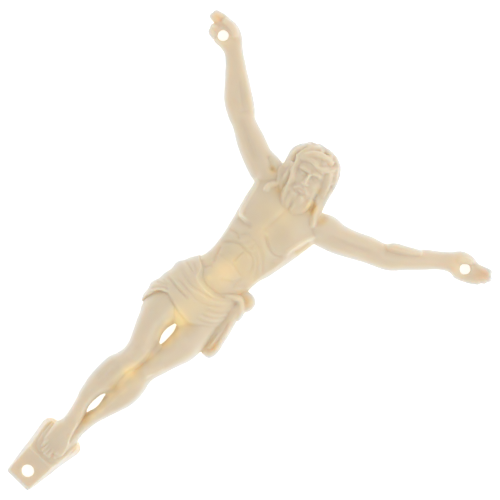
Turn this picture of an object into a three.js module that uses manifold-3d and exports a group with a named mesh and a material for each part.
// A small corpus, moulded in one piece of ivory plastic, lying on its back.
// Lengths are in millimetres. x runs to the viewer's right, y towards the head and z out of the
// front of the figure. Tables and places count x and y from the nail hole in the footrest, and z
// from the plane that the back, the hands and the footrest lie on.
import * as THREE from 'three';
import { mergeVertices } from 'three/addons/utils/BufferGeometryUtils.js';
import Module from 'manifold-3d';

const wasm = await Module();
wasm.setup();

// Driving dimensions
const NAIL_HOLE = 3;
const FOOT_NAIL_HOLE = 3.4;
const HOLE_SIDES = 16;
// The tables hold the outline inside the figure's bright rim, which is this wide all round.
const RIM = 0.3;
const FOOT_BLOCK = 4.4;
const FOOT_TAB = 1.6;
const HEAD_PLACE = [-1.5, 110.8, 10.5];
const HEAD_TILT = 15;
const HEAD_BOW = 18;
// Hollow behind the belly: half sizes and middle of an ellipsoid
const BACK_HOLLOW_SIZE = [4.7, 9.5, 6.4];
const BACK_HOLLOW_PLACE = [0.8, 75, -0.4];
// Points of the joined surface that are closer than this become one point.
const WELD = 0.17;
const IVORY = 0xdfcfb4;

// Value of a Catmull-Rom curve through the rows of a table, with t from 0 to 1.
function along(rows, t) {
  const place = Math.min(Math.max(t, 0), 1) * (rows.length - 1);
  const i = Math.min(Math.floor(place), rows.length - 2);
  const f = place - i;
  const row = (k) => rows[Math.min(Math.max(k, 0), rows.length - 1)];
  return rows[0].map((_, c) => {
    const [p, a, b, n] = [row(i - 1)[c], row(i)[c], row(i + 1)[c], row(i + 2)[c]];
    return a + 0.5 * f * (b - p + f * (2 * p - 5 * a + 4 * b - n + f * (3 * a - p - 3 * b + n)));
  });
}

// A closed surface over rings of points. Each end is closed by a fan to the middle of its ring.
function skin(rings) {
  const around = rings[0].length;
  const middle = (ring) => ring.reduce((s, p) => s.add(p), new THREE.Vector3()).divideScalar(around);
  const points = [...rings.flat(), middle(rings[0]), middle(rings.at(-1))];
  const [first, last] = [points.length - 2, points.length - 1];
  const faces = [];
  for (let k = 0; k < around; k += 1) {
    const n = (k + 1) % around;
    faces.push([first, n, k], [last, last - 1 - around + k, last - 1 - around + n]);
    for (let r = 0; r < rings.length - 1; r += 1) {
      const [a, b] = [r * around, (r + 1) * around];
      faces.push([a + k, a + n, b + n], [a + k, b + n, b + k]);
    }
  }
  const volume = faces.reduce((sum, [a, b, c]) => (
    sum + points[a].dot(new THREE.Vector3().crossVectors(points[b], points[c]))), 0);
  const index = faces.flatMap(([a, b, c]) => (volume > 0 ? [a, b, c] : [a, c, b]));
  return new THREE.BufferGeometry().setFromPoints(points).setIndex(index);
}

// The manifold solid of a closed three.js geometry.
function solid(geometry) {
  const bare = geometry.clone();
  bare.deleteAttribute('normal');
  bare.deleteAttribute('uv');
  const merged = mergeVertices(bare, 1e-4);
  return new wasm.Manifold(new wasm.Mesh({
    numProp: 3,
    vertProperties: merged.attributes.position.array,
    triVerts: new Uint32Array(merged.index.array),
  }));
}

// The same geometry with points closer than a reach made one, and the faces that close up left out.
function weld(geometry, reach) {
  const merged = mergeVertices(geometry, reach);
  const corners = Array.from(merged.index.array);
  const open = corners.filter((_, i) => {
    const [a, b, c] = corners.slice(i - (i % 3), i - (i % 3) + 3);
    return a !== b && b !== c && c !== a;
  });
  return merged.setIndex(open);
}

// The three.js geometry of a manifold solid.
function surface(made) {
  const { vertProperties, triVerts } = made.getMesh();
  return new THREE.BufferGeometry()
    .setAttribute('position', new THREE.BufferAttribute(vertProperties, 3))
    .setIndex(new THREE.BufferAttribute(triVerts, 1));
}

// A point of an oval section. The side vector is level; the front and back halves of the oval
// reach to their own heights, and a fullness above 2 makes the oval squarer.
function ovalPoint(angle, x, y, side, half, back, front, fullness) {
  const bend = (v) => Math.sign(v) * Math.abs(v) ** (2 / fullness);
  const level = back + 0.45 * (front - back);
  const across = (half + RIM) * bend(Math.cos(angle));
  const rise = bend(Math.sin(angle));
  const z = level + rise * (rise > 0 ? front - level : level - back);
  return new THREE.Vector3(x + side[0] * across, y + side[1] * across, z);
}

// Angles round a section, closer together over the front, where the modelling is.
const turn = (around, crowding = 0) => Array.from({ length: around }, (_, k) => {
  const angle = (2 * Math.PI * k) / around;
  return angle + crowding * Math.cos(angle);
});

// Rings of level slices. A row is [y, left x, right x, back z, front z].
function slices(rows, around, count, crowding = 0, fullness = 2.3) {
  return Array.from({ length: count }, (_, i) => {
    const [y, left, right, back, front] = along(rows, i / (count - 1));
    return turn(around, crowding).map((a) => (
      ovalPoint(a, (left + right) / 2, y, [1, 0], (right - left) / 2, back, front, fullness)));
  });
}

// Rings square to a path in plan. A row is [x, y, half width, back z, front z]. A rounded end
// adds two rings that shrink on a quarter circle and stop just short of closing. Strands are
// grooves that run along and twist.
function limb(rows, around, count, { fullness = 2.2, round = 0, strands = 0, depth = 0, twist = 0 } = {}) {
  const rings = [];
  const extra = round ? 2 : 0;
  for (let i = 0; i < count + extra; i += 1) {
    const t = Math.min(i / (count - 1), 1);
    const past = (Math.max(i - count + 1, 0) / (extra + 0.35)) * (Math.PI / 2);
    const [x, y, half, back, front] = along(rows, t);
    const [x0, y0] = along(rows, t - 0.02);
    const [x1, y1] = along(rows, t + 0.02);
    const length = Math.hypot(x1 - x0, y1 - y0);
    const ahead = [(x1 - x0) / length, (y1 - y0) / length];
    const shrink = Math.cos(past);
    const reach = round * Math.sin(past);
    const level = back + 0.45 * (front - back);
    rings.push(turn(around).map((a) => {
      const groove = 1 - (depth / 2) * (1 - Math.cos(strands * a + twist * t));
      const s = shrink * groove;
      return ovalPoint(a, x + ahead[0] * reach, y + ahead[1] * reach, [-ahead[1], ahead[0]],
        half * s, level + (back - level) * s, level + (front - level) * s, fullness);
    }));
  }
  return rings;
}

// Moves ring points along the surface's own normal by a height that depends on where they are.
function carve(rings, height) {
  const around = rings[0].length;
  const at = (r, k) => rings[Math.min(Math.max(r, 0), rings.length - 1)][(k + around) % around];
  return rings.map((ring, r) => ring.map((p, k) => {
    const out = new THREE.Vector3().crossVectors(
      at(r + 1, k).clone().sub(at(r - 1, k)), at(r, k + 1).clone().sub(at(r, k - 1)));
    const middle = ring.reduce((s, q) => s.add(q), new THREE.Vector3()).divideScalar(around);
    if (out.dot(p.clone().sub(middle)) < 0) out.negate();
    out.normalize();
    return p.clone().addScaledVector(out, height(p, out));
  }));
}

// Height of a stroke that follows a curve through points: deep in the middle, fading to its width.
function stroke(points, width, height) {
  const fine = Array.from({ length: 17 }, (_, i) => along(points, i / 16));
  return (p) => {
    const near = Math.min(...fine.map(([x, y]) => Math.hypot(p.x - x, p.y - y)));
    return height * Math.exp(-((near / width) ** 2));
  };
}

// Height of a round swelling or dip.
const swelling = (x, y, rx, ry, height) => (p) => (
  height * Math.exp(-(((p.x - x) / rx) ** 2) - (((p.y - y) / ry) ** 2)));

// Adds heights up on the front of the figure, and fades them out round its sides.
const onFront = (heights) => (p, out) => (
  Math.min(Math.max(out.z * 2, 0), 1) * heights.reduce((sum, height) => sum + height(p), 0));

// Row of a table at a height or an angle, on a straight line between the two rows beside it.
const nearTo = (rows, y) => {
  const k = Math.max(rows.findIndex((row) => row[0] >= y), 1);
  const f = (y - rows[k - 1][0]) / (rows[k][0] - rows[k - 1][0]);
  return rows[k].map((value, c) => rows[k - 1][c] + f * (value - rows[k - 1][c]));
};

// Trunk from the seat to the neck. A row is [y, left x, right x, back z, front z]
const TRUNK = [
  [57.8, -6, 7, 2.5, 9.6], [60, -7.6, 7.9, 1.6, 10.8], [64.5, -8, 8.2, 1.2, 11],
  [69, -7.7, 8, 1.2, 10.6], [72, -7.2, 8.1, 1.2, 10.6],
  [76.5, -6.2, 8.3, 1.7, 9.8], [80, -6.2, 8.7, 1.9, 10.1], [83, -6.8, 9.8, 1.6, 11.3],
  [86, -7.4, 10.4, 1.1, 12.3], [90, -8.5, 11.2, 0.5, 13.1], [94, -9.6, 11.8, -0.2, 13.4],
  [98, -10.4, 12.2, -0.3, 13.1], [101.5, -11, 12.2, 0.5, 12], [104.5, -9.2, 10.2, 1.6, 10.5],
  [107.5, -5, 5.5, 3, 9],
];

function trunk() {
  const modelling = [
    swelling(-5, 94.5, 4, 3.8, 1.1), swelling(6, 94.5, 4.2, 3.8, 1.1),
    stroke([[0.4, 100], [0.3, 95], [0.6, 88]], 0.9, -0.5),
    stroke([[-8.4, 92], [-5, 89.8], [-2, 89]], 0.9, -0.7),
    stroke([[1.2, 90.6], [4, 89], [7, 88.3], [9.3, 90]], 0.9, -0.7),
    stroke([[-5.2, 80.4], [-4, 82.6], [-1, 83.8], [2.5, 83.7], [4.6, 82], [5.8, 79]], 1.1, -0.9),
    stroke([[-6.5, 84], [-4, 85.4]], 0.7, -0.5), stroke([[3, 86.2], [6, 85], [8.6, 81]], 0.7, -0.5),
    stroke([[0.5, 83], [0.4, 78]], 0.8, -0.35),
    swelling(0.4, 77.5, 3.6, 4, 0.7), stroke([[-5.3, 79.5], [-3.6, 75.5], [-4.8, 71.8]], 0.8, -0.8),
    stroke([[5.8, 79], [5, 75.5], [5.8, 72.5]], 0.8, -0.6), swelling(-1.3, 71.6, 0.9, 0.7, -0.5),
    stroke([[-10.4, 99.5], [-8.4, 94.6], [-7.4, 89.4]], 0.8, -0.6),
    stroke([[12, 99.5], [9.9, 96.5], [9, 93], [9.4, 89.5]], 0.9, -0.7),
    stroke([[-8, 103.6], [-3.5, 102.4]], 1, 0.5), stroke([[3, 102.2], [9, 103]], 1, 0.5),
  ];
  return carve(slices(TRUNK, 27, 36, 0.4), onFront(modelling));
}

// Legs and feet, the right foot crossed over the left. A row is [y, left x, right x, back z, front z]
const RIGHT_LEG = [
  [64, -7.6, -0.8, 2.2, 10.4], [61, -8.6, 0.2, 1.6, 12.4], [58, -9.3, 0.6, 1.6, 13.4],
  [54.5, -9.1, -0.1, 2.8, 14.2], [52, -8, -0.5, 3.8, 14.8], [49.5, -6.9, 0.4, 4.8, 15.4],
  [47, -5.8, 1.8, 5.8, 16], [44.5, -4.6, 2.3, 6.8, 16.5], [42, -4.2, 2.1, 7.3, 16.6],
  [40, -4.7, 1.4, 7, 15.9], [38, -5.5, 0.8, 6, 14.9], [35.5, -5.8, 0.9, 5, 14.1],
  [32.5, -5.8, 1.2, 4.4, 13.6], [30, -5.6, 0.5, 4.3, 13.2], [28, -5.2, -0.4, 4.4, 12.7],
  [26, -4.8, -0.6, 4.5, 12.2], [24, -4.2, -0.4, 4.6, 11.7], [21.5, -3.5, 0.4, 4.6, 11.3],
  [19, -2.9, 0.9, 4.4, 11.1], [16.8, -2.85, 1.4, 4.2, 10.9], [14.5, -3.1, 2.1, 4, 10.3],
  [12, -3.4, 3.2, 3.9, 9.2], [10, -3.3, 3.8, 3.8, 8.3], [8.6, -3, 3.9, 3.8, 7.6],
];
const LEFT_LEG = [
  [64, 1.2, 8.4, 2.2, 10.4], [61, 1, 9, 1.6, 12.2], [58, 1.1, 9.8, 1.4, 13.2],
  [55, 1.9, 10.5, 2.2, 13.8], [52, 2.3, 10.3, 3, 14.1], [49.5, 1.9, 9.3, 3.8, 14.5],
  [47, 1.6, 8.5, 4.8, 14.9], [44.5, 1.4, 7.7, 5.8, 15.3], [42, 1.2, 6.7, 6.2, 15.4],
  [40, 1.1, 6.6, 5.9, 14.6], [38, 0.9, 7.1, 4.9, 13.6], [35, 0.8, 7.4, 3.7, 12.6],
  [32, 0.8, 7.1, 2.9, 11.8], [29.5, 0.7, 6.5, 2.7, 11.1], [27, 1.3, 5.6, 2.7, 10.4],
  [25, 1.2, 4.9, 2.6, 9.8], [22.5, 0.5, 4, 2.4, 9.2], [20, 0, 3.6, 2.1, 8.7], [17, 0, 3.6, 1.8, 8.2],
  [14.5, 0.8, 4.1, 2, 7.6], [12, 1.4, 4.5, 2, 6.9], [9.5, 2, 4.4, 2, 6],
];

function legs() {
  const kneeRight = [swelling(-1.3, 42.6, 2.1, 2.4, 0.5), stroke([[-1.2, 36], [-1.6, 26]], 0.9, 0.35),
    stroke([[-3.9, 44.5], [-3.6, 41]], 0.7, -0.35)];
  const kneeLeft = [swelling(4.3, 42.4, 1.9, 2.3, 0.5), stroke([[3.6, 36], [2.9, 26]], 0.9, 0.35),
    stroke([[6.4, 45], [5.4, 42]], 0.7, -0.35)];
  return [
    carve(slices(RIGHT_LEG, 14, 28), onFront(kneeRight)),
    carve(slices(LEFT_LEG, 13, 27), onFront(kneeLeft)),
  ];
}

// Toes, as [x of the middle, half width, y of the tip], from the little toe to the big one
const TOES = [[-2.4, 0.62, 7.1], [-1.2, 0.62, 6.5], [-0.05, 0.66, 6.2], [1.15, 0.7, 6.2], [2.9, 1.0, 7]];

const toes = () => TOES.map(([x, half, tip]) => limb([
  [x * 0.9 + 0.1, 10.6, half - RIM, 4, 8.3], [x, 9, half * 1.05 - RIM, 4, 7.9],
  [x, tip + half * 0.9, half - RIM, 4, 7.1]], 6, 3, { round: half * 0.9 }));

// Footrest: a tapering block with drafted sides. Its lower part slopes down to a tab, whose nail
// hole is the point that x and y count from. A row is [y, half width at the back]
const FOOTREST = [
  [-4.1, 3.2], [-3.5, 3.9], [5.2, 5.35], [12.4, 6.5], [13.6, 6.3], [14.5, 5.7], [15.1, 4.7], [15.3, 3.6],
];
const FOOTREST_DRAFT = 0.28;

function footrest() {
  const [low, , ridge] = FOOTREST;
  return FOOTREST.map(([y, half]) => {
    const rise = Math.min((y - low[0]) / (ridge[0] - low[0]), 1);
    const height = FOOT_TAB + (FOOT_BLOCK - FOOT_TAB) * rise;
    const top = half - FOOTREST_DRAFT * height;
    return [[-half, 0], [half, 0], [top, height], [-top, height]].map(([x, z]) => new THREE.Vector3(x, y, z));
  });
}

// Arms and open palms. A row is [x, y, half width, back z, front z], from the shoulder outwards
const RIGHT_ARM = [
  [-6, 102.2, 3.8, 1.6, 10.6], [-9, 103, 4, 1.2, 11], [-11.6, 103.4, 4, 1.2, 10.6],
  [-14.8, 104.1, 3.55, 1.6, 9.8],
  [-19.1, 105.8, 3.55, 1.5, 9], [-23.3, 107.7, 3, 1.4, 8], [-26.3, 109.3, 3.2, 1.2, 7.5],
  [-29.2, 111.3, 3.4, 0.8, 7.2], [-31.9, 113.7, 3.1, 0.6, 6.6], [-34.5, 115.8, 2.6, 0.4, 5.9],
  [-36.8, 118, 2.3, 0.3, 5.1], [-39.2, 119.8, 2.2, 0, 4.4], [-41.4, 121.1, 3, -0.5, 3.9],
  [-43.6, 121.6, 3.45, -0.6, 3.5], [-45.6, 121.7, 3.35, -0.6, 3.3], [-47, 121.5, 2.8, -0.5, 3],
];
const LEFT_ARM = [
  [7, 101.2, 3.8, 1.6, 10.6], [9.6, 101.8, 4.2, 1.2, 11], [12.4, 102.4, 4.2, 1.2, 10.6],
  [16.2, 103.4, 3.75, 1.6, 9.7],
  [20.2, 105.1, 3.35, 1.5, 8.8], [23.7, 106.9, 3.1, 1.4, 8], [27.1, 108.1, 2.95, 1.2, 7.4],
  [29.8, 109.4, 3, 0.9, 7.1], [32.2, 111.6, 2.7, 0.7, 6.5], [34.9, 113.8, 2.3, 0.5, 5.8],
  [37.2, 116, 2.3, 0.3, 5.1], [39.6, 117.9, 2.1, 0, 4.4], [42.1, 119.8, 2.5, -0.5, 3.9],
  [44.2, 121.1, 3.3, -0.6, 3.6], [46.4, 121.7, 3.4, -0.6, 3.4], [48.6, 121.9, 3, -0.5, 3.2],
];

// Fingers, a little bent, and the thumb, which lies along the palm
const RIGHT_FINGERS = [
  [[-45.8, 124.1, 0.6, 0.6, 3], [-48, 124.2, 0.65, 0.6, 3.1], [-50, 123.9, 0.55, 1, 3.4]],
  [[-46.2, 122.8, 0.6, 0.4, 2.8], [-48.2, 122.8, 0.65, 0.4, 3], [-50.1, 122.7, 0.5, 0.8, 3.4]],
  [[-46.2, 121, 0.6, 0.4, 3], [-47.2, 121, 0.65, 0.5, 3.6], [-47.8, 120.8, 0.5, 1, 4]],
  [[-45.6, 119.5, 0.6, 0.4, 3], [-46.6, 119.5, 0.65, 0.5, 3.6], [-47.3, 119.6, 0.5, 1, 3.9]],
  [[-41.8, 123.2, 0.6, 1.6, 4.2], [-44, 124, 0.6, 2, 4.4], [-46, 123.7, 0.45, 2.4, 4.4]],
];
const LEFT_FINGERS = [
  [[47.6, 123.7, 0.6, 0.6, 3], [49.6, 124.3, 0.65, 0.6, 3.2], [51.6, 125.2, 0.55, 1, 3.6]],
  [[48.4, 122.6, 0.6, 0.4, 3], [50.6, 123.3, 0.65, 0.4, 3.2], [52.7, 124, 0.5, 0.8, 3.7]],
  [[48.4, 121.2, 0.6, 0.4, 3], [50.2, 121.8, 0.6, 0.4, 3.4], [52.3, 123, 0.5, 1, 3.9]],
  [[47.8, 119.6, 0.6, 0.4, 3], [49.2, 120.2, 0.6, 0.5, 3.4], [51.1, 121.5, 0.45, 1, 3.8]],
  [[42.8, 121.8, 0.6, 1.6, 4.2], [44.4, 123.2, 0.6, 2, 4.4], [46, 124, 0.5, 2.3, 4.4]],
];

const NAIL_PLACES = [[0, 0, FOOT_NAIL_HOLE], [-44.35, 121, NAIL_HOLE], [46.5, 121.5, NAIL_HOLE]];

// Loincloth: a wrap round the hips. Its waist and its hem are heights that depend on the angle
// round the body, counted from the viewer's right over the front.
const CLOTH = [
  [52, -9.2, 10.2, 1.5, 14.6], [54, -9.9, 10.2, 0.4, 14.6], [57, -10.9, 10.2, -0.2, 14.6],
  [60, -11.1, 10.2, -0.5, 14.4], [63, -10.7, 10.2, -0.6, 14], [66, -10.4, 10.1, -0.5, 13.4],
  [70, -9.5, 9.9, -0.3, 12.2], [73, -7.7, 9.4, 0.3, 11.3], [76, -6.4, 8.9, 1, 10.6],
];
const WAIST = [
  [0, 74.2], [20, 73.4], [45, 72.2], [70, 70.8], [90, 69.9], [112, 70.1], [130, 71.4], [150, 73.2],
  [180, 74.4], [230, 74], [270, 73.4], [320, 74], [360, 74.2],
];
const HEM = [
  [0, 63.2], [20, 63], [37, 62], [54, 60.3], [67, 58.8], [77, 58], [90, 59], [110, 60], [130, 60.3],
  [144, 59.4], [156, 57.6], [166, 55.4], [180, 54.2], [200, 54.2], [225, 55.6], [270, 56.6],
  [315, 58], [345, 61.5], [360, 63.2],
];
// Folds that sweep from the far hip to the knot: [start x, start y, end x, end y, sag, width, height]
const FOLDS = [
  [-8.6, 70.5, 8.8, 73, 2.3, 0.6, -0.6], [-8.8, 68, 9.2, 72.2, 2.5, 0.6, -0.6],
  [-9.8, 64.1, 2, 63.4, 0.3, 0.7, -0.9], [-1, 65.6, 9.4, 71.3, 0.5, 0.6, -0.6],
  [2, 63.6, 9.6, 70.3, 0.6, 0.6, -0.6], [4.5, 61.7, 9.8, 68.5, 0.5, 0.6, -0.6],
  [6.5, 61.4, 10, 66.8, 0.3, 0.5, -0.5], [-10.6, 62, -8.6, 58, -0.5, 0.5, -0.6],
];

function loincloth() {
  const [around, count] = [38, 12];
  const rings = Array.from({ length: count }, (_, i) => turn(around, 0.35).map((a) => {
    const degrees = (a * 180) / Math.PI;
    const [low, high] = [nearTo(HEM, degrees)[1], nearTo(WAIST, degrees)[1]];
    const y = low + ((high - low) * i) / (count - 1);
    const [, left, right, back, front] = nearTo(CLOTH, y);
    return ovalPoint(a, (left + right) / 2, y, [1, 0], (right - left) / 2, back, front, 2.5);
  }));
  const folds = FOLDS.map(([x0, y0, x1, y1, sag, width, height]) => stroke(
    [0, 0.25, 0.5, 0.75, 1].map((f) => [
      x0 + (x1 - x0) * f, y0 + (y1 - y0) * f - sag * Math.sin(Math.PI * f)]), width, height));
  const behind = (p) => 0.3 * Math.min(p.z / 3, 1) * Math.cos(((p.y - 56) * 2 * Math.PI) / 5);
  const both = (p, out) => onFront(folds)(p, out) + Math.min(Math.max(-out.z, 0), 1) * behind(p);
  return carve(rings, both);
}

// Knot at the hip and the end of the cloth that hangs from it
function knot() {
  const loop = limb([[8, 74.6, 0.9, 7, 10.6], [9.6, 75, 1.1, 6.6, 10.9], [11, 74.4, 1.5, 6, 11],
    [11.2, 73.2, 1.5, 5.6, 10.8], [10.4, 71.6, 1.5, 5.6, 10.6]], 9, 7, { round: 0.8 });
  const lobe = limb([[10, 71.2, 1, 5, 10.8], [11, 69.6, 1.1, 4.6, 10.2], [11.2, 68.4, 0.9, 4.6, 9.6]],
    8, 4, { round: 0.7 });
  const tail = limb([[10.4, 71, 1, 4.6, 10.4], [10.9, 68, 1.2, 4, 9.8], [11.3, 65, 1.5, 3.6, 9.4],
    [11.8, 61, 1.9, 3.4, 9.2], [12, 58.4, 2.05, 3.4, 9], [11.9, 56.9, 1.7, 3.8, 8.6]], 12, 9,
    { round: 1.3 });
  const pleats = [stroke([[10.9, 67], [11.6, 62], [12.2, 57]], 0.5, -0.9)];
  return [loop, lobe, carve(tail, onFront(pleats))];
}

// The head's own frame: x to its left ear side, y up to the crown, z out of the face.
const headFrame = new THREE.Matrix4().multiplyMatrices(
  new THREE.Matrix4().makeTranslation(...HEAD_PLACE),
  new THREE.Matrix4().multiplyMatrices(
    new THREE.Matrix4().makeRotationZ(THREE.MathUtils.degToRad(HEAD_TILT)),
    new THREE.Matrix4().makeRotationX(THREE.MathUtils.degToRad(HEAD_BOW)),
  ),
);
const onHead = (rings) => rings.map((ring) => ring.map((p) => p.clone().applyMatrix4(headFrame)));

// Skull and face. A row is [y, left x, right x, back z, front z] in the head's frame
const SKULL = [
  [-8, -1.6, 1.6, 0, 4.4], [-7.2, -2.7, 2.7, -1.5, 5.4], [-5.5, -3.6, 3.6, -3, 5.8],
  [-3, -4.4, 4.4, -5, 5.6],
  [-0.5, -4.8, 4.8, -6, 5.3], [2, -5.1, 5.1, -6.4, 5.7], [4.5, -4.9, 4.9, -6.2, 5.2],
  [6.4, -3.6, 3.6, -4.6, 3.4], [7.4, -1.6, 1.6, -2.4, 1],
];
const HAIR_CAP = [
  [-8, -4.4, 4.4, -4.2, -0.5], [-6, -5.4, 5.4, -5.8, -0.2], [-3.5, -6.3, 6.2, -6.9, 0.6],
  [-1.5, -6.8, 6.8, -7.5, 1.6], [0.6, -7.1, 7, -7.8, 2.4], [2.4, -6.9, 7, -7.8, 3.4],
  [4, -6.7, 6.5, -7.4, 5.6], [5.4, -5.9, 5.8, -6.7, 6.1], [6.6, -4.5, 4.5, -5.3, 5],
  [7.4, -2.6, 2.6, -3.4, 2.8], [7.7, -0.8, 0.8, -1.4, 0.8],
];

function head() {
  const face = [
    stroke([[-3, 1.3], [-1.5, 1.7], [0, 1.3], [1.5, 1.7], [3, 1.3]], 0.7, 0.35),
    swelling(-1.75, 0.1, 1.1, 0.7, -0.55), swelling(1.75, 0.1, 1.1, 0.7, -0.55),
    swelling(-1.75, -0.1, 0.7, 0.4, 0.35), swelling(1.75, -0.1, 0.7, 0.4, 0.35),
    stroke([[0, 1.2], [0, -2.2]], 0.5, 0.7), swelling(0, -2.3, 0.8, 0.5, 0.9),
    stroke([[-1.9, -3.9], [0, -3.2], [1.9, -3.9]], 0.5, 0.35),
    stroke([[-1, -4.3], [1, -4.3]], 0.35, -0.3), swelling(0, -5, 0.9, 0.4, 0.3),
    swelling(-2.7, -2, 1, 1.2, 0.25), swelling(2.7, -2, 1, 1.2, 0.25),
  ];
  const waves = (p, out) => {
    const angle = Math.atan2(p.x, p.z);
    return 0.28 * Math.sin(13 * angle + 1.3 * Math.sin(p.y * 1.1)) * Math.min(1, Math.hypot(p.x, p.z) / 4);
  };
  const band = (side) => limb([
    [0.2 * side, 6.4, 0.7, 2.5, 6.6], [2.4 * side, 5.5, 1.1, 2.5, 6.9], [4.6 * side, 3.6, 1.2, 1, 5.9],
    [5.9 * side, 1, 1.2, -0.6, 4.6], [6.4 * side, -2, 1.2, -1.5, 4], [6.2 * side, -5, 1.3, -1.5, 4.2],
  ], 6, 11, { round: 0.8, strands: 2, depth: 0.3, twist: 14 });
  return [
    onHead(carve(slices(SKULL, 18, 17, 0.6), onFront(face))),
    onHead(carve(slices(HAIR_CAP, 22, 11), waves)), onHead(band(-1)), onHead(band(1)),
  ];
}

// Neck, the locks that fall on the shoulders, and the forked beard
function locksAndBeard() {
  const wavy = { strands: 3, depth: 0.28, twist: 9, round: 0.7 };
  return [
    limb([[0.6, 101, 4.6, 1.5, 10], [0.2, 104, 3.9, 2.4, 10.4], [-0.8, 108, 3.8, 3, 12]], 14, 5),
    limb([[-7.6, 112, 1.5, 5, 10.5], [-7.1, 108, 1.7, 4.5, 11.4], [-6.9, 105, 1.7, 5, 12.4],
      [-6, 103, 1.4, 7, 13.2], [-6.8, 100.2, 0.9, 9, 13.8]], 6, 8, wavy),
    limb([[-6.2, 108, 1.1, 6, 12.2], [-5, 104.6, 1.1, 7, 13.2], [-4.5, 102.2, 0.8, 9, 13.9]], 5, 6, wavy),
    limb([[4.4, 112, 1.5, 5, 10.5], [5.6, 108.6, 1.5, 4.5, 11.2], [6.3, 105.6, 1.6, 5, 12],
      [7.1, 103.4, 1.4, 7, 12.9], [8.5, 101, 0.8, 9, 13.3]], 6, 8, wavy),
    limb([[4.2, 107, 0.9, 7, 12.6], [4.6, 104.4, 0.9, 8, 13], [5.6, 102, 0.7, 9, 13.4]], 5, 5, wavy),
    limb([[-0.6, 104.6, 2.2, 9, 15.4], [-0.4, 102.6, 1.9, 9, 15.6], [-0.5, 100.9, 1.2, 10, 15.1],
      [-0.5, 99.9, 0.7, 11, 14.6]], 7, 5, wavy),
    limb([[1.5, 104.4, 2, 9, 15.2], [1.9, 102.4, 1.8, 9, 15.4], [1.9, 100.6, 1.2, 10, 14.9],
      [2, 99.5, 0.7, 11, 14.4]], 7, 5, wavy),
  ];
}

// Web of plastic between the knees, the hollow behind the belly, the nail holes and the plane below
const kneeWeb = () => slices([[29.6, -0.6, 1.8, 5.5, 9], [33, -1, 2.4, 5.6, 9.4],
  [40, -1, 2.4, 8.4, 11.2], [49.6, -0.6, 3.4, 7.5, 11.5]], 6, 5, 0, 3);
const backHollow = () => solid(
  new THREE.SphereGeometry(1, 18, 12).scale(...BACK_HOLLOW_SIZE).translate(...BACK_HOLLOW_PLACE));
const nailHole = ([x, y, across]) => solid(
  new THREE.CylinderGeometry(across / 2, across / 2, 40, HOLE_SIDES).rotateX(Math.PI / 2).translate(x, y, 0));
const below = () => solid(new THREE.BoxGeometry(200, 300, 20).translate(0, 60, -10));

const shapes = [
  trunk(), ...legs(), ...toes(), footrest(), kneeWeb(),
  ...[RIGHT_ARM, LEFT_ARM].map((rows) => limb(rows, 12, 22, { round: 0.8 })),
  ...[...RIGHT_FINGERS, ...LEFT_FINGERS].map((rows) => limb(rows, 5, 3, { round: 0.75 })),
  loincloth(), ...knot(), ...head(), ...locksAndBeard(),
];
const joined = shapes.map((rings) => solid(skin(rings))).reduce((all, next) => all.add(next));
const cuts = [backHollow(), below(), ...NAIL_PLACES.map(nailHole)];
const uncut = solid(weld(surface(joined), WELD));
const geometry = surface(cuts.reduce((left, cut) => left.subtract(cut), uncut));
geometry.computeBoundingBox();

// The origin goes to the middle of the figure's length and breadth, on the plane that it lies on.
const corpus = new THREE.Mesh(
  geometry, new THREE.MeshStandardMaterial({ color: IVORY, roughness: 0.42, metalness: 0 }));
corpus.name = 'corpus';
const box = geometry.boundingBox;
corpus.position.set(-(box.min.x + box.max.x) / 2, -(box.min.y + box.max.y) / 2, -box.min.z);

const part = new THREE.Group();
part.add(corpus);
export default part;
